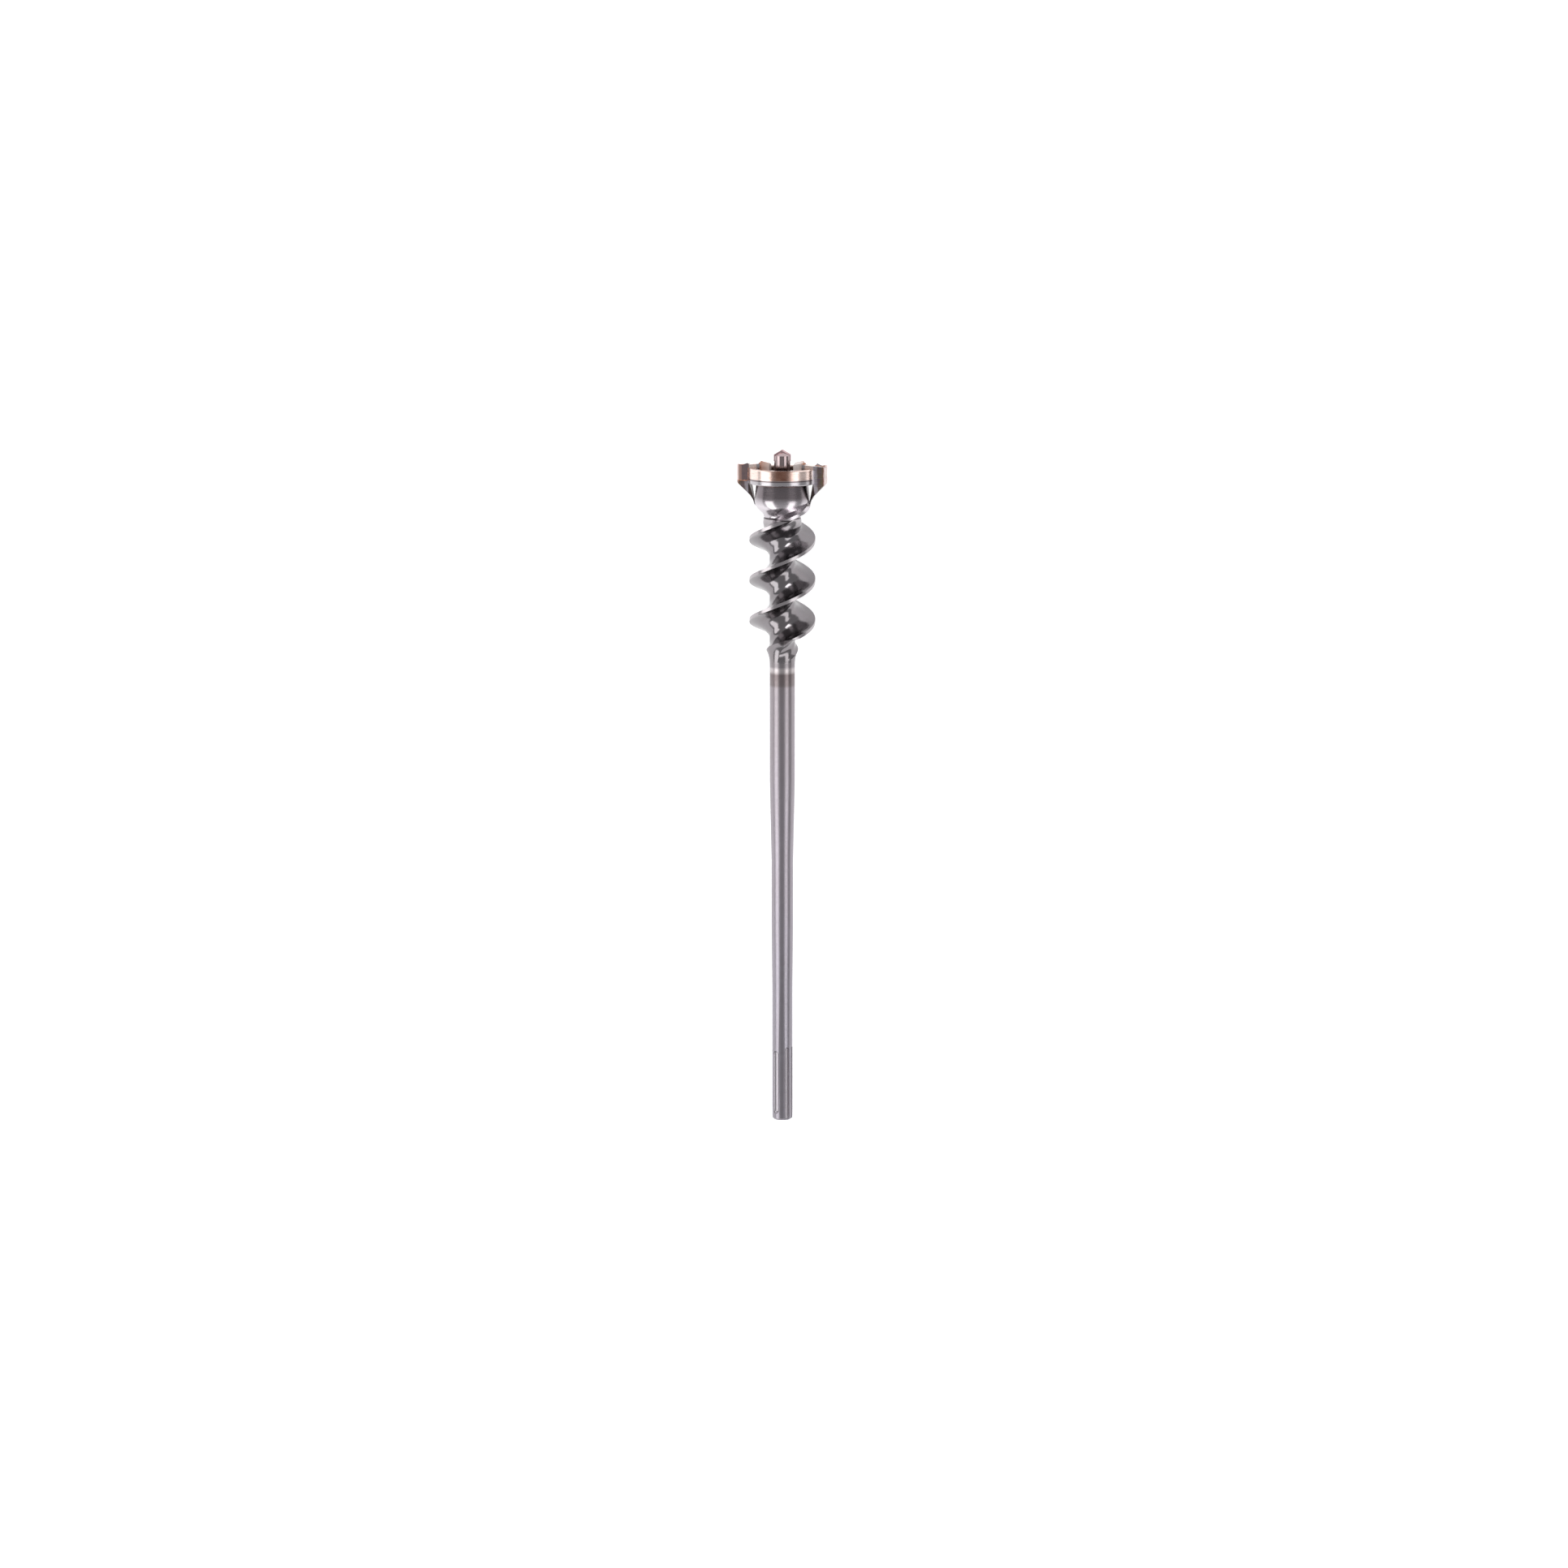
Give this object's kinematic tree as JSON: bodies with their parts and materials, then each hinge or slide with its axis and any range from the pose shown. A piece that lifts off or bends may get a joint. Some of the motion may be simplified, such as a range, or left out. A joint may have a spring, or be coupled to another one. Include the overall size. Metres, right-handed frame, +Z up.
{
  "type": "breakthrough drill bit",
  "caption": "Long slotted-shank hammer drill bit with a short two-start spiral and a wide winged cutter head with carbide cutters and a pilot point, lying on its side.",
  "frame": {"origin": "middle of the footprint on the floor that the bit lies on", "axes": "+Y along the bit towards the pilot point, +Z up, +X to the right of someone looking down with the point ahead"},
  "size_m": [0.0796, 0.5998, 0.0642],
  "materials": {
    "spiral_shaft": "satin, machined, lightly oiled",
    "cutter_head": "satin, machined, with a warm braze tint round the cutters",
    "pilot_stem": "satin, turned",
    "pilot_tip": "ground carbide, pinkish tint from brazing",
    "wing_cutters": "ground carbide, dark",
    "inner_cutters": "ground carbide"
  },
  "bodies": {
    "root": {"spiral_shaft": "spiral_shaft", "cutter_head": "cutter_head", "pilot_stem": "pilot_stem", "pilot_tip": "pilot_tip", "wing_cutter_right": "wing_cutters", "wing_cutter_left": "wing_cutters", "inner_cutter_right": "inner_cutters", "inner_cutter_left": "inner_cutters"}
  },
  "joints": []
}
